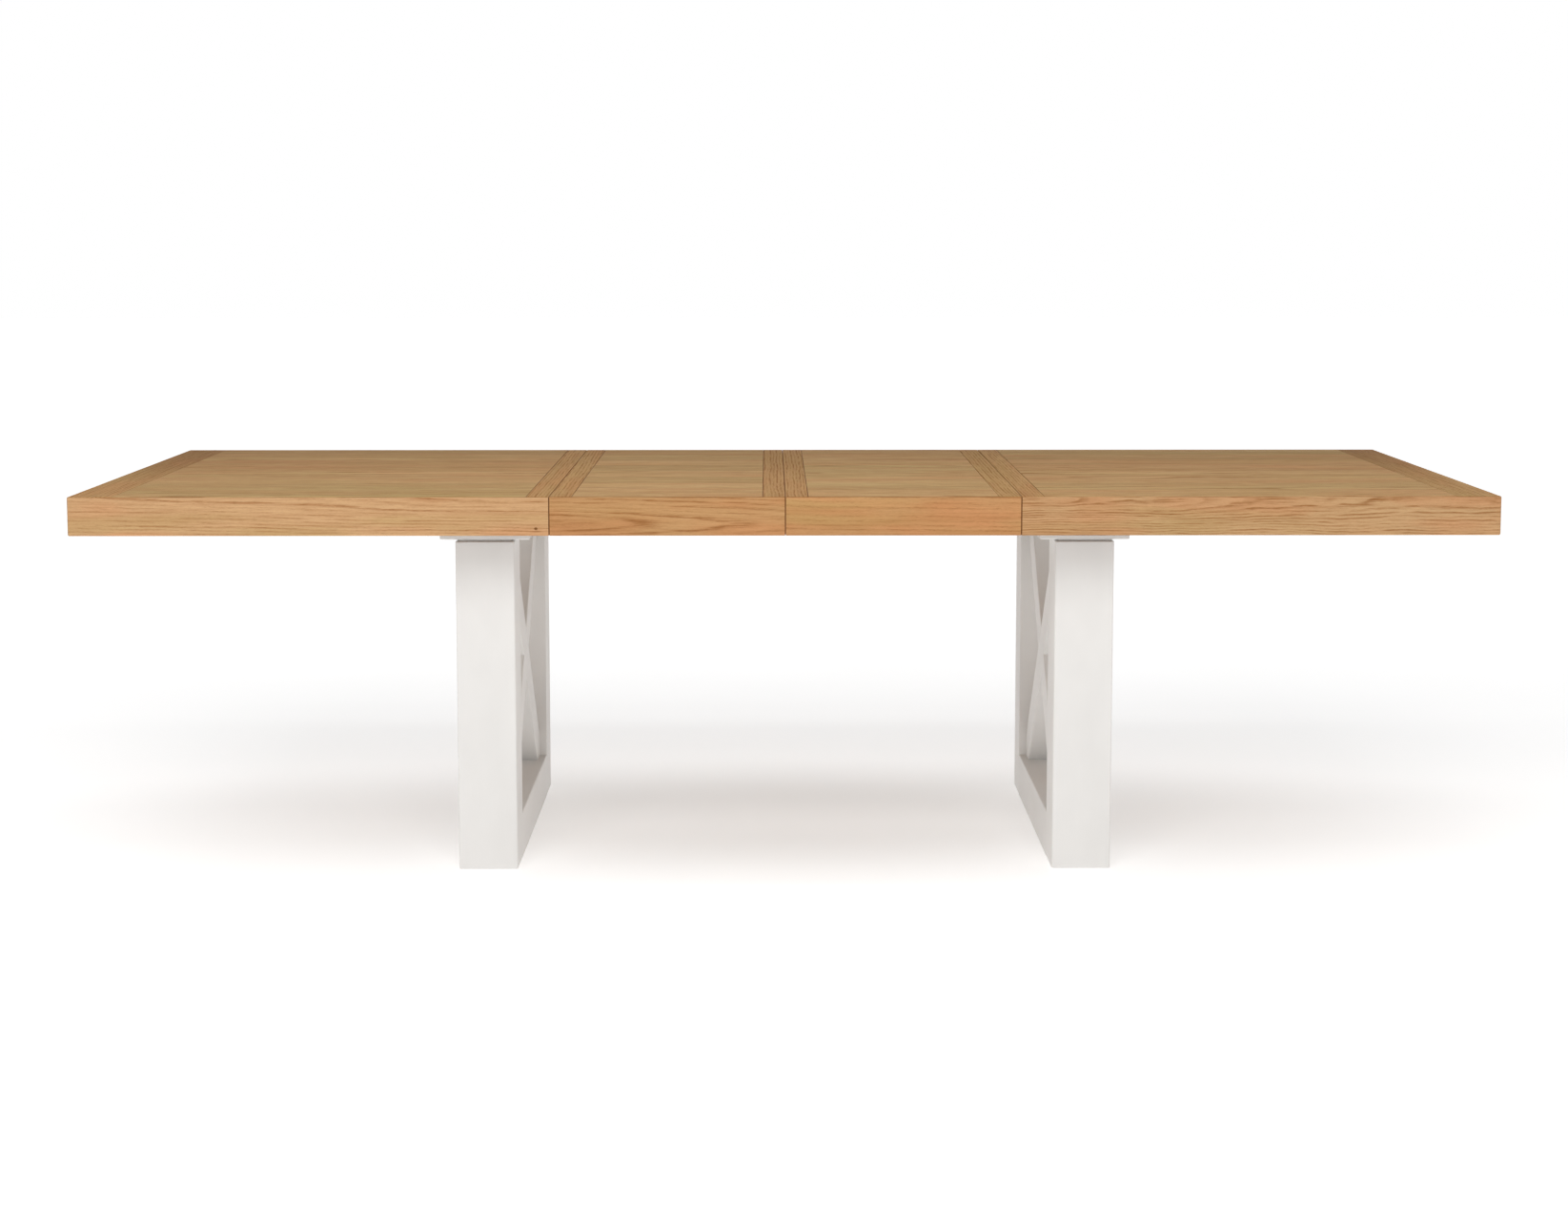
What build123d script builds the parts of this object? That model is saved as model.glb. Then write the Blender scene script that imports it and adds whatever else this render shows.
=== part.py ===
from build123d import *
import math
import os

# Extendable dining table, drawn with both loose leaves in place. Sizes are in millimetres.
# The origin is on the floor under the middle. +X runs along the table, the front faces -Y, +Z is up.
# Pieces of the left half are built first, and the right half is their mirror image.

# Whole table
table_length = 2730.0
table_width = 1000.0
table_height = 760.0
leaf_length = 450.0

# Top boards and the mitred aprons under their edges
edge_height = 75.0
board_thickness = 22.0
apron_thickness = 22.0
end_strip_width = 85.0
seam_strip_width = 43.0
edge_radius = 3.0
seam_gap = 0.4
seam_chamfer = 1.0
seam_joint_groove = 0.8
end_joint_groove = 0.4
corner_block_leg = 60.0
corner_block_reveal = 8.0

# Stopped tongues that join the boards to the cross-grain strips
tongue_length = 12.0
tongue_thickness = 8.0
tongue_margin = 130.0
tongue_clearance = 0.2

# Trestle legs
leg_spacing = 1175.0
leg_depth = 745.0
post_width = 116.0
post_depth = 100.0
post_radius = 4.0
post_chamfer = 1.5
shadow_gap = 3.0
shadow_gap_depth = 8.0
rail_height = 90.0
rail_radius = 3.0
tenon_length = 50.0
tenon_thickness = 40.0
tenon_height = 60.0
tenon_clearance = 0.2
brace_width = 70.0
brace_thickness = 85.0
brace_radius = 3.0
glide_thickness = 3.0
glide_diameter = 36.0
glide_chamfer = 1.0
glide_pin_diameter = 6.0
glide_pin_length = 12.0

# Battens that cap the legs, and the cross rail at their level
batten_thickness = 22.0
batten_overhang = 30.0
batten_inset = 3.0
batten_chamfer = 2.0
apron_clearance = 2.0
cross_rail_width = 80.0
cross_rail_thickness = 18.0
cross_rail_overhang = 20.0

# Bearers fixed to the battens, grooved on both sides for the runners
bearer_spacing = 520.0
bearer_width = 48.0
bearer_inset = 8.0
bearer_chamfer = 1.5
groove_depth = 14.0
groove_height = 14.0
groove_floor = 18.0
slide_clearance = 0.3

# Runners screwed under the half tops
runner_width = 30.0
runner_height = 48.0
runner_inset = 50.0
runner_reach = 300.0
runner_taper = 40.0
leaf_relief = 1.0

# Stop pegs that hold the runners captive
over_travel = 50.0
stop_clearance = 0.5
peg_diameter = 7.0
peg_inset = 62.0
peg_bite = 8.0

# Fasteners
fastener_clearance = 0.15
screw_diameter = 5.0
screw_head_diameter = 9.5
screw_head_height = 3.5
screw_bite = 14.0
screw_margin = 60.0
screws_per_runner = 4
bolt_diameter = 8.0
bolt_head_height = 5.5
bolt_head_flats = 13.0
cap_head_diameter = 13.0
cap_head_height = 8.0
post_bolt_bite = 50.0
post_bolt_spacing = 56.0
bearer_bolt_bite = 34.0

# Swivel catches under the seams
catch_offset = 400.0
catch_setback = 24.0
catch_reach = 48.0
catch_drop = 4.0
lever_width = 22.0
lever_thickness = 3.0
lever_tail = 24.0
lever_tail_width = 12.0
lever_play = 0.2
pivot_clearance = 0.05
hook_clearance = 0.75
hook_mouth_angle = 40.0
shoulder_diameter = 8.0
collar_diameter = 12.0
shoulder_head_diameter = 14.0
shoulder_head_height = 2.5
shoulder_shank_diameter = 5.0
shoulder_bite = 12.0

# Heights worked out from the sizes above
half_width = table_width / 2
top_under = table_height - board_thickness
apron_bottom = table_height - edge_height
batten_top = apron_bottom - apron_clearance
batten_bottom = batten_top - batten_thickness
cross_rail_bottom = batten_top - cross_rail_thickness
rail_top = glide_thickness + rail_height
bearer_top = top_under - slide_clearance
groove_low = batten_top + groove_floor
groove_high = groove_low + groove_height

# Places along the left half
end_x = -table_length / 2
seam_x = -leaf_length
leg_x = -leg_spacing / 2
bearer_end = leg_spacing / 2 + post_width / 2 + batten_overhang - bearer_inset
top_x = (end_x, seam_x - seam_gap / 2)
leaf_x = (seam_x + seam_gap / 2, -seam_gap / 2)
top_panel_x = (top_x[0] + end_strip_width, top_x[1] - seam_strip_width)
runner_x = (top_panel_x[0] + runner_inset, seam_x + runner_reach)
peg_x = -bearer_end + peg_inset

# Places across the table
bearer_y = bearer_spacing / 2
post_y = (leg_depth - post_depth) / 2
opening_half = leg_depth / 2 - post_depth

# Levels of the swivel catches below the top
collar_low = top_under - catch_drop
lever_high = collar_low - lever_play
lever_low = lever_high - lever_thickness
shoulder_low = lever_low - lever_play

ALL_Y = (-table_width, table_width)
ALL_Z = (-table_height, 2 * table_height)


def block(x_span, y_span, z_span):
    """Box between two bounds on each axis, given in either order."""
    spans = (x_span, y_span, z_span)
    sizes = [abs(span[1] - span[0]) for span in spans]
    middles = [(span[0] + span[1]) / 2 for span in spans]
    return Pos(*middles) * Box(*sizes)


def prism_along_x(points, x_span):
    """Extrude an outline of (y, z) points along X."""
    outline = make_face(Polyline(*points, close=True))
    return extrude(Plane.YZ.offset(x_span[0]) * outline, amount=x_span[1] - x_span[0])


def prism_along_y(points, y_span):
    """Extrude an outline of (x, z) points along Y."""
    outline = make_face(Polyline(*points, close=True))
    return extrude(Plane.XZ.offset(-y_span[1]) * outline, amount=y_span[1] - y_span[0])


def prism_along_z(points, z_span):
    """Extrude an outline of (x, y) points along Z."""
    outline = make_face(Polyline(*points, close=True))
    return extrude(Plane.XY.offset(z_span[0]) * outline, amount=z_span[1] - z_span[0])


def upright_cylinder(diameter, x, y, z_span):
    """Cylinder along Z between two heights."""
    height = abs(z_span[1] - z_span[0])
    return Pos(x, y, (z_span[0] + z_span[1]) / 2) * Cylinder(diameter / 2, height)


def turned(points):
    """Solid of revolution about Z from (radius, height) points."""
    outline = make_face(Polyline(*points, close=True))
    return revolve(Plane.XZ * outline, axis=Axis.Z)


def as_drawn(shape):
    """A piece of the left half, left where it was drawn."""
    return shape


def mirrored(shape):
    """The same piece on the right half of the table."""
    return mirror(shape, about=Plane.YZ)


def eased_section(x_span, outer_end):
    """Outer form of one section of the top: rounded outside edges, chamfered seam edges."""
    section = block(x_span, (-half_width, half_width), (apron_bottom, table_height))
    ends = section.faces().sort_by(Axis.X)
    outside_edges = section.edges().filter_by(Axis.X)
    if outer_end:
        outside_edges = outside_edges + ends[0].edges()
    section = fillet(outside_edges, edge_radius)
    ends = section.faces().filter_by(Axis.X).sort_by(Axis.X)
    seam_ends = ends[-1:] if outer_end else ends
    seam_edges = [edge for end in seam_ends for edge in end.edges()]
    return chamfer(seam_edges, seam_chamfer)


def lid(x_span, outer_end):
    """Top layer of a section, mitred to the aprons along its outside edges."""
    inner_half = half_width - apron_thickness
    cross = [
        (-half_width, table_height),
        (half_width, table_height),
        (inner_half, top_under),
        (-inner_half, top_under),
    ]
    layer = prism_along_x(cross, x_span)
    if outer_end:
        side = [
            (x_span[0], table_height),
            (x_span[1], table_height),
            (x_span[1], top_under),
            (x_span[0] + apron_thickness, top_under),
        ]
        layer = layer & prism_along_y(side, (-half_width, half_width))
    return layer


def joint_line(x, groove):
    """Shallow V cut along a joint between a board and a strip."""
    outline = [(x - groove, table_height), (x + groove, table_height), (x, table_height - groove)]
    return prism_along_y(outline, (-half_width, half_width))


def tongue(x_span, clearance):
    """Tongue of a board end, or its groove when a clearance is given."""
    reach = half_width - tongue_margin + clearance
    middle = (table_height + top_under) / 2
    rise = tongue_thickness / 2 + clearance
    return block(x_span, (-reach, reach), (middle - rise, middle + rise))


def boards(x_span, panel_x, outer_end, low_groove):
    """Panel and the two cross-grain strips of a section, as (panel, low strip, high strip)."""
    form = eased_section(x_span, outer_end)
    layer = lid(x_span, outer_end) & form
    layer -= joint_line(panel_x[0], low_groove)
    layer -= joint_line(panel_x[1], seam_joint_groove)
    strips = []
    panel = layer & block(panel_x, ALL_Y, ALL_Z)
    for x, outside, direction in ((panel_x[0], x_span[0], -1), (panel_x[1], x_span[1], 1)):
        tip = x + direction * tongue_length
        strip = layer & block((x, outside), ALL_Y, ALL_Z)
        strips.append(strip - tongue((x, tip + direction * tongue_clearance), tongue_clearance))
        panel += tongue((x, tip), 0)
    return panel, strips[0], strips[1]


def long_apron(x_span, outer_end):
    """Front apron of a section, mitred to the top and, at an outer end, to the end apron."""
    inner_y = -half_width + apron_thickness
    cross = [
        (-half_width, apron_bottom),
        (-half_width, table_height),
        (inner_y, top_under),
        (inner_y, apron_bottom),
    ]
    apron = prism_along_x(cross, x_span) & eased_section(x_span, outer_end)
    if outer_end:
        plan = [
            (x_span[0], -half_width),
            (x_span[1], -half_width),
            (x_span[1], inner_y),
            (x_span[0] + apron_thickness, inner_y),
        ]
        apron = apron & prism_along_z(plan, ALL_Z)
    return apron


def end_apron():
    """Apron across the outer end of the left half top."""
    inner_x = end_x + apron_thickness
    inner_half = half_width - apron_thickness
    side = [(end_x, apron_bottom), (end_x, table_height), (inner_x, top_under), (inner_x, apron_bottom)]
    plan = [(end_x, -half_width), (inner_x, -inner_half), (inner_x, inner_half), (end_x, half_width)]
    apron = prism_along_y(side, (-half_width, half_width)) & prism_along_z(plan, ALL_Z)
    return apron & eased_section(top_x, True)


def corner_blocks():
    """Glue blocks in the two outer corners of the left half top."""
    corner_x = end_x + apron_thickness
    corner_y = -half_width + apron_thickness
    plan = [
        (corner_x, corner_y),
        (corner_x + corner_block_leg, corner_y),
        (corner_x, corner_y + corner_block_leg),
    ]
    front = prism_along_z(plan, (apron_bottom + corner_block_reveal, top_under))
    return [front, mirror(front, about=Plane.XZ)]


def runner_sides(y_sign, outside):
    """Bearer face, near face and far face of a runner, and the way it faces from the bearer."""
    away = y_sign if outside else -y_sign
    bearer_face = y_sign * bearer_y + away * bearer_width / 2
    near = bearer_face + away * slide_clearance
    return bearer_face, near, near + away * runner_width, away


def screw_places(outside):
    """Points (x, y) of the screws through both runners of the left half top."""
    first = runner_x[0] + screw_margin
    step = (top_panel_x[1] - screw_margin - first) / (screws_per_runner - 1)
    places = []
    for y_sign in (-1, 1):
        near, far = runner_sides(y_sign, outside)[1:3]
        places += [(first + step * index, (near + far) / 2) for index in range(screws_per_runner)]
    return places


def runner_screw(x, y, clearance):
    """Countersunk screw from below a runner, or its hole when a clearance is given."""
    low = top_under - runner_height
    head = screw_head_diameter / 2 + clearance
    shank = screw_diameter / 2 + clearance
    profile = [
        (0, low),
        (head, low),
        (shank, low + screw_head_height),
        (shank, top_under + screw_bite + clearance),
        (0, top_under + screw_bite + clearance),
    ]
    return Pos(x, y, 0) * turned(profile)


def runner(y_sign, outside):
    """Grooved-in runner of the left half top, with its tongue cut away along the stop's travel."""
    bearer_face, near, far, away = runner_sides(y_sign, outside)
    low = top_under - runner_height
    outline = [
        (runner_x[0], top_under),
        (seam_x, top_under),
        (seam_x, top_under - leaf_relief),
        (runner_x[1], top_under - leaf_relief),
        (runner_x[1], low),
        (runner_x[0] + runner_taper, low),
        (runner_x[0], groove_high),
    ]
    bar = prism_along_y(outline, sorted((near, far)))
    tip = bearer_face - away * (groove_depth - slide_clearance)
    tongue_z = (groove_low + slide_clearance, groove_high - slide_clearance)
    stop_reach = peg_diameter / 2 + stop_clearance
    inner = block((peg_x + stop_reach + over_travel, runner_x[1]), (near, tip), tongue_z)
    outer = block((runner_x[0] + runner_taper, peg_x - stop_reach - leaf_length), (near, tip), tongue_z)
    bar = bar + inner + outer
    for x, y in screw_places(outside):
        if y * y_sign > 0:
            bar -= runner_screw(x, y, fastener_clearance)
    return bar


def screw_holes(panel, outside):
    """Cut the runner screws' holes in the left half top's panel."""
    for x, y in screw_places(outside):
        panel -= runner_screw(x, y, fastener_clearance)
    return panel


def front_post():
    """Front post of the left leg, mortised for the bottom rail, with a shadow gap under the batten."""
    x_span = (leg_x - post_width / 2, leg_x + post_width / 2)
    y_span = (-leg_depth / 2, -leg_depth / 2 + post_depth)
    shoulder = batten_bottom - shadow_gap
    post = block(x_span, y_span, (glide_thickness, shoulder))
    outside = post.edges().filter_by(Axis.Z).group_by(Axis.Y)[0]
    post = fillet(outside, post_radius)
    ends = post.faces().filter_by(Axis.Z).edges()
    front_ends = [edge for edge in ends if edge.center().Y < y_span[1] - post_radius]
    post = chamfer(front_ends, post_chamfer)
    neck_x = (x_span[0] + shadow_gap_depth, x_span[1] - shadow_gap_depth)
    neck_y = (y_span[0] + shadow_gap_depth, y_span[1])
    post += block(neck_x, neck_y, (shoulder, batten_bottom))
    post -= rail_tenon(-1, tenon_clearance)
    post -= Pos(leg_x, -post_y, 0) * glide_pin(fastener_clearance)
    for x, y in post_bolt_places():
        post -= post_bolt(x, y, fastener_clearance)
    return post


def rail_tenon(y_sign, clearance):
    """Tenon on one end of the bottom rail, or its mortise when a clearance is given."""
    middle = glide_thickness + rail_height / 2
    width = tenon_thickness / 2 + clearance
    rise = tenon_height / 2 + clearance
    tip = opening_half + tenon_length + clearance
    y_span = (y_sign * opening_half, y_sign * tip)
    return block((leg_x - width, leg_x + width), y_span, (middle - rise, middle + rise))


def bottom_rail():
    """Rail between the feet of the left leg's posts, with a tenon on each end."""
    x_span = (leg_x - post_width / 2, leg_x + post_width / 2)
    rail = block(x_span, (-opening_half, opening_half), (glide_thickness, rail_top))
    rail = fillet(rail.edges().filter_by(Axis.Y).group_by(Axis.Z)[-1], rail_radius)
    return rail + rail_tenon(-1, 0) + rail_tenon(1, 0)


def braces():
    """Two braces of the left leg, halved into each other where they cross."""
    rise = batten_bottom - rail_top
    span = 2 * opening_half
    slope = math.degrees(math.atan2(rise, span))
    length = math.hypot(rise, span) + 2 * brace_width
    bar = Box(brace_thickness, length, brace_width)
    eased = fillet(bar.edges().filter_by(Axis.Y), brace_radius)
    middle = Pos(leg_x, 0, (batten_bottom + rail_top) / 2)
    opening = block(
        (leg_x - brace_thickness, leg_x + brace_thickness),
        (-opening_half, opening_half),
        (rail_top, batten_bottom),
    )
    outer_half = block((leg_x - brace_thickness, leg_x), ALL_Y, ALL_Z)
    inner_half = block((leg_x, leg_x + brace_thickness), ALL_Y, ALL_Z)
    up = middle * Rot(slope, 0, 0)
    down = middle * Rot(-slope, 0, 0)
    rising = (up * eased & opening) - (down * bar & inner_half)
    falling = (down * eased & opening) - (up * bar & outer_half)
    return rising, falling


def glide_pin(clearance):
    """Pin of a glide, standing on the floor at the origin, or its hole."""
    pin_top = glide_thickness + glide_pin_length + clearance
    return upright_cylinder(glide_pin_diameter + 2 * clearance, 0, 0, (glide_thickness, pin_top))


def glides():
    """Nail-on glides under the two posts of the left leg."""
    disc = upright_cylinder(glide_diameter, 0, 0, (0, glide_thickness))
    disc = chamfer(disc.edges().sort_by(Axis.Z)[0], glide_chamfer)
    glide = disc + glide_pin(0)
    return [Pos(leg_x, y_sign * post_y, 0) * glide for y_sign in (-1, 1)]


def post_bolt_places():
    """Points (x, y) of the bolts down through the left batten into its posts."""
    offsets = (-post_bolt_spacing / 2, post_bolt_spacing / 2)
    return [(leg_x + offset, y_sign * post_y) for y_sign in (-1, 1) for offset in offsets]


def post_bolt(x, y, clearance):
    """Cap-head bolt sunk in a batten, or its hole when a clearance is given."""
    shank_span = (batten_bottom - post_bolt_bite - clearance, batten_top)
    head_span = (batten_top - cap_head_height - clearance, batten_top)
    shank = upright_cylinder(bolt_diameter + 2 * clearance, x, y, shank_span)
    return shank + upright_cylinder(cap_head_diameter + 2 * clearance, x, y, head_span)


def bearer_bolt_places():
    """Points (x, y) of the bolts up through the left batten's wings into the bearers."""
    reach = post_width / 2 + batten_overhang / 2
    return [(leg_x + side * reach, y_sign * bearer_y) for side in (-1, 1) for y_sign in (-1, 1)]


def cross_rail_bolt_places():
    """Points (x, y) of the bolts up through the cross rail."""
    return [(0.0, y_sign * bearer_y) for y_sign in (-1, 1)]


def bearer_bolt(x, y, underside):
    """Hexagon-head bolt whose head bears on the underside of a batten or of the cross rail."""
    head = extrude(RegularPolygon(bolt_head_flats / 2, 6, major_radius=False), amount=bolt_head_height)
    head = Pos(x, y, underside - bolt_head_height) * head
    return head + upright_cylinder(bolt_diameter, x, y, (underside, batten_top + bearer_bolt_bite))


def bearer_bolt_hole(x, y):
    """Hole for a bearer bolt, through what is under the bearer and up into it."""
    hole_span = (batten_bottom, batten_top + bearer_bolt_bite + fastener_clearance)
    return upright_cylinder(bolt_diameter + 2 * fastener_clearance, x, y, hole_span)


def batten():
    """Batten that caps the left leg and carries the bearers."""
    reach_x = post_width / 2 + batten_overhang
    reach_y = leg_depth / 2 - batten_inset
    plank = block((leg_x - reach_x, leg_x + reach_x), (-reach_y, reach_y), (batten_bottom, batten_top))
    plank = chamfer(plank.faces().sort_by(Axis.Z)[0].edges(), batten_chamfer)
    for x, y in post_bolt_places():
        plank -= post_bolt(x, y, fastener_clearance)
    for x, y in bearer_bolt_places():
        plank -= bearer_bolt_hole(x, y)
    return plank


def cross_rail():
    """Rail that ties the bearers together in the middle, from below."""
    reach = bearer_y + bearer_width / 2 + cross_rail_overhang
    x_span = (-cross_rail_width / 2, cross_rail_width / 2)
    plank = block(x_span, (-reach, reach), (cross_rail_bottom, batten_top))
    plank = chamfer(plank.faces().sort_by(Axis.Z)[0].edges(), batten_chamfer)
    for x, y in cross_rail_bolt_places():
        plank -= bearer_bolt_hole(x, y)
    return plank


def stop_peg_places():
    """Points (x, y) of the stop pegs: left runners run inside the bearers, right ones outside."""
    shift = (bearer_width - groove_depth) / 2
    left = [(peg_x, y_sign * (bearer_y - shift)) for y_sign in (-1, 1)]
    right = [(-peg_x, y_sign * (bearer_y + shift)) for y_sign in (-1, 1)]
    return left + right


def stop_peg(x, y, clearance):
    """Upright dowel across a bearer's groove, or its hole when a clearance is given."""
    peg_top = groove_high + peg_bite + clearance
    return upright_cylinder(peg_diameter + 2 * clearance, x, y, (batten_top, peg_top))


def bearer(y_sign):
    """Lengthwise bearer with a runner groove along each side."""
    y = y_sign * bearer_y
    half = bearer_width / 2
    core = half - groove_depth
    outline = [
        (y - half, batten_top),
        (y + half, batten_top),
        (y + half, groove_low),
        (y + core, groove_low),
        (y + core, groove_high),
        (y + half, groove_high),
        (y + half, bearer_top),
        (y - half, bearer_top),
        (y - half, groove_high),
        (y - core, groove_high),
        (y - core, groove_low),
        (y - half, groove_low),
    ]
    bar = prism_along_x(outline, (-bearer_end, bearer_end))
    top_edges = bar.edges().filter_by(Axis.X).group_by(Axis.Z)[-1]
    bar = chamfer(top_edges, bearer_chamfer)
    for x, hole_y in bearer_bolt_places() + cross_rail_bolt_places():
        if hole_y * y_sign > 0:
            bar -= bearer_bolt_hole(x, hole_y)
            bar -= bearer_bolt_hole(-x, hole_y)
    for x, hole_y in stop_peg_places():
        if hole_y * y_sign > 0:
            bar -= stop_peg(x, hole_y, fastener_clearance)
    return bar


def shoulder_screw(clearance):
    """Screw with a collar and a plain shoulder, under the origin, or its hole in the board."""
    shank = shoulder_shank_diameter / 2 + clearance
    head_low = shoulder_low - shoulder_head_height
    profile = [
        (0, head_low),
        (shoulder_head_diameter / 2, head_low),
        (shoulder_head_diameter / 2, shoulder_low),
        (shoulder_diameter / 2, shoulder_low),
        (shoulder_diameter / 2, collar_low),
        (collar_diameter / 2, collar_low),
        (collar_diameter / 2, top_under),
        (shank, top_under),
        (shank, top_under + shoulder_bite + clearance),
        (0, top_under + shoulder_bite + clearance),
    ]
    return turned(profile)


def screw_group(places):
    """Shoulder screws at a list of (x, y) points."""
    return [Pos(x, y, 0) * shoulder_screw(0) for x, y in places]


def with_shoulder_holes(panel, places):
    """Panel with a hole for each shoulder screw."""
    for x, y in places:
        panel -= Pos(x, y, 0) * shoulder_screw(fastener_clearance)
    return panel


def catch_pair(x):
    """Points (x, y) of the front and rear catch screws at one distance along the table."""
    return [(x, y_sign * catch_offset) for y_sign in (-1, 1)]


def lever():
    """Flat hook turning about the origin, drawn with its hook along +X and its mouth towards +Y."""
    hook = shoulder_diameter / 2 + hook_clearance
    mouth_reach = 2 * catch_reach
    mouth_angle = math.radians(hook_mouth_angle)
    mouth_far = (mouth_reach * math.cos(mouth_angle), mouth_reach * math.sin(mouth_angle))
    sector = make_face(Polyline((0, 0), (mouth_reach, 0), mouth_far, close=True))
    channel = (Circle(catch_reach + hook) - Circle(catch_reach - hook)) & sector
    seat = Pos(catch_reach, 0) * Circle(hook)
    arm = Pos(catch_reach / 2, 0) * SlotCenterToCenter(catch_reach, lever_width)
    tail = Pos(-lever_tail / 2, 0) * SlotCenterToCenter(lever_tail, lever_tail_width)
    pivot = Circle(shoulder_diameter / 2 + pivot_clearance)
    outline = arm + tail - channel - seat - pivot
    return Pos(0, 0, lever_low) * extrude(outline, amount=lever_thickness)


def catch(x, y, latch_side):
    """Lever on its pivot, swung clear of the seam, with its hook towards the table's middle line."""
    towards_middle = -1 if y > 0 else 1
    blank = lever()
    if towards_middle * latch_side > 0:
        blank = mirror(blank, about=Plane.XZ)
    return Pos(x, y, 0) * Rot(0, 0, 90 * towards_middle) * blank


def write(name, shapes):
    """Save one piece, or one group of loose pieces, under its name."""
    solids = []
    for shape in shapes if isinstance(shapes, list) else [shapes]:
        solids += shape.solids()
    shape = solids[0] if len(solids) == 1 else Compound(solids)
    export_step(shape, f"parts/{name}.step")


def build_half_top(side, place, outside):
    """Write one half top with its runners; place puts a left-hand piece on its side."""
    keeper_places = catch_pair(seam_x + catch_setback - catch_reach)
    panel, end_strip, seam_strip = boards(top_x, top_panel_x, True, end_joint_groove)
    panel = screw_holes(panel, outside)
    seam_strip = with_shoulder_holes(seam_strip, keeper_places)
    apron = long_apron(top_x, True)
    pieces = {
        "top_panel": [panel],
        "end_strip": [end_strip],
        "seam_strip": [seam_strip],
        "front_apron": [apron],
        "rear_apron": [mirror(apron, about=Plane.XZ)],
        "end_apron": [end_apron()],
        "corner_blocks": corner_blocks(),
        "front_runner": [runner(-1, outside)],
        "rear_runner": [runner(1, outside)],
        "runner_screws": [runner_screw(x, y, 0) for x, y in screw_places(outside)],
        "keeper_screws": screw_group(keeper_places),
    }
    for name, shapes in pieces.items():
        write(f"{side}_{name}", [place(shape) for shape in shapes])


def build_leaf(side, place, screw_places_by_strip):
    """Write one loose leaf with the shoulder screws under its two seam strips."""
    panel_x = (leaf_x[0] + seam_strip_width, leaf_x[1] - seam_strip_width)
    panel, outer_strip, inner_strip = boards(leaf_x, panel_x, False, seam_joint_groove)
    outer_places, inner_places = screw_places_by_strip
    apron = long_apron(leaf_x, False)
    pieces = {
        "leaf_panel": [panel],
        "leaf_outer_strip": [with_shoulder_holes(outer_strip, outer_places)],
        "leaf_inner_strip": [with_shoulder_holes(inner_strip, inner_places)],
        "leaf_front_apron": [apron],
        "leaf_rear_apron": [mirror(apron, about=Plane.XZ)],
        "leaf_catch_screws": screw_group(outer_places + inner_places),
    }
    for name, shapes in pieces.items():
        write(f"{side}_{name}", [place(shape) for shape in shapes])


def build_leg(side, place):
    """Write one trestle leg with its batten."""
    post = front_post()
    rising, falling = braces()
    pieces = {
        "front_post": [post],
        "rear_post": [mirror(post, about=Plane.XZ)],
        "bottom_rail": [bottom_rail()],
        "rising_brace": [rising],
        "falling_brace": [falling],
        "batten": [batten()],
    }
    for name, shapes in pieces.items():
        write(f"{side}_{name}", [place(shape) for shape in shapes])


def both_sides(shapes):
    """Loose pieces of the left half and their mirror images."""
    return shapes + [mirrored(shape) for shape in shapes]


def build_bearers():
    """Write the bearers, the cross rail and the pieces that the two legs share."""
    batten_bolts = [bearer_bolt(x, y, batten_bottom) for x, y in bearer_bolt_places()]
    rail_bolts = [bearer_bolt(x, y, cross_rail_bottom) for x, y in cross_rail_bolt_places()]
    write("front_bearer", bearer(-1))
    write("rear_bearer", bearer(1))
    write("cross_rail", cross_rail())
    write("bearer_bolts", both_sides(batten_bolts) + rail_bolts)
    write("post_bolts", both_sides([post_bolt(x, y, 0) for x, y in post_bolt_places()]))
    write("stop_pegs", [stop_peg(x, y, 0) for x, y in stop_peg_places()])
    write("glides", both_sides(glides()))


def build_catches():
    """Write the swivel catches: each is carried by a leaf and reaches over one seam."""
    seams = {
        "left": (seam_x + catch_setback, -1),
        "middle": (-catch_setback, 1),
        "right": (-seam_x - catch_setback, 1),
    }
    for seam, (x, latch_side) in seams.items():
        for end, (pivot_x, pivot_y) in zip(("front", "rear"), catch_pair(x)):
            write(f"{seam}_{end}_catch", catch(pivot_x, pivot_y, latch_side))


def main():
    """Write every piece of the table."""
    os.makedirs("parts", exist_ok=True)
    outer_pivots = catch_pair(seam_x + catch_setback)
    middle_pivots = catch_pair(-catch_setback)
    middle_keepers = catch_pair(catch_setback - catch_reach)
    build_half_top("left", as_drawn, False)
    build_half_top("right", mirrored, True)
    build_leaf("left", as_drawn, (outer_pivots, middle_pivots))
    build_leaf("right", mirrored, (outer_pivots, middle_keepers))
    build_leg("left", as_drawn)
    build_leg("right", mirrored)
    build_bearers()
    build_catches()


main()
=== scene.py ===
"""Dresses the extending dining table: oak top and leaves, painted leg frames, slides, catches, studio."""

import logging
import math
from abc import ABC, abstractmethod
from dataclasses import dataclass
from enum import Enum
from typing import Any, Optional, Union

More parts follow.
